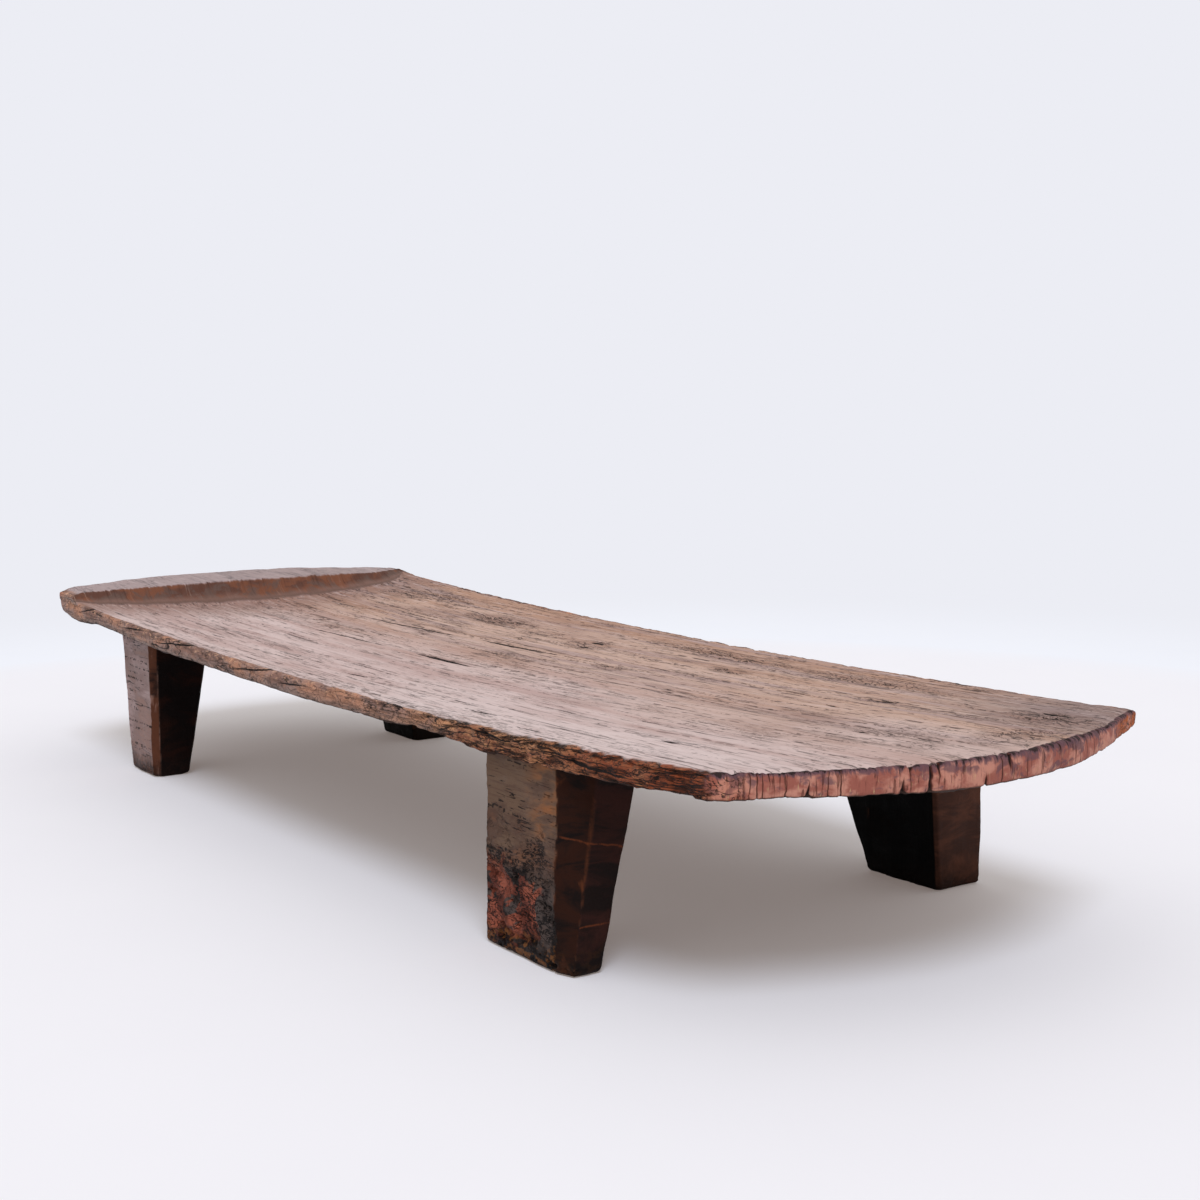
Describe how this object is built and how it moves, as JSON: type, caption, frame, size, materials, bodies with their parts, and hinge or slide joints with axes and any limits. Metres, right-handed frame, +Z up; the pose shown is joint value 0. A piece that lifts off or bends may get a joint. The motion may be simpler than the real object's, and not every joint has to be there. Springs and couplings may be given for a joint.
{
  "type": "carved wooden daybed",
  "caption": "Low hand-carved wooden daybed with a dished, sagging slab, bowed ends, a raised band as headrest and tapered block legs.",
  "frame": {"origin": "on the floor, under the middle of the bed's bounding box", "axes": "+X along the bed from its raised head end to its foot end, +Y across it to the far long side, +Z up from the soles"},
  "size_m": [2.1, 0.7241, 0.3148],
  "materials": {
    "deck_wood": "dry weathered hardwood, matt, with long drying cracks and open pores along the bed",
    "leg_wood": "dark smoked and handled hardwood, satin on rubbed corners, matt elsewhere"
  },
  "bodies": {
    "root": {"deck": "deck_wood", "headrest": "deck_wood", "leg_head_near": "leg_wood", "leg_head_far": "leg_wood", "leg_foot_near": "leg_wood", "leg_foot_far": "leg_wood"}
  },
  "joints": []
}
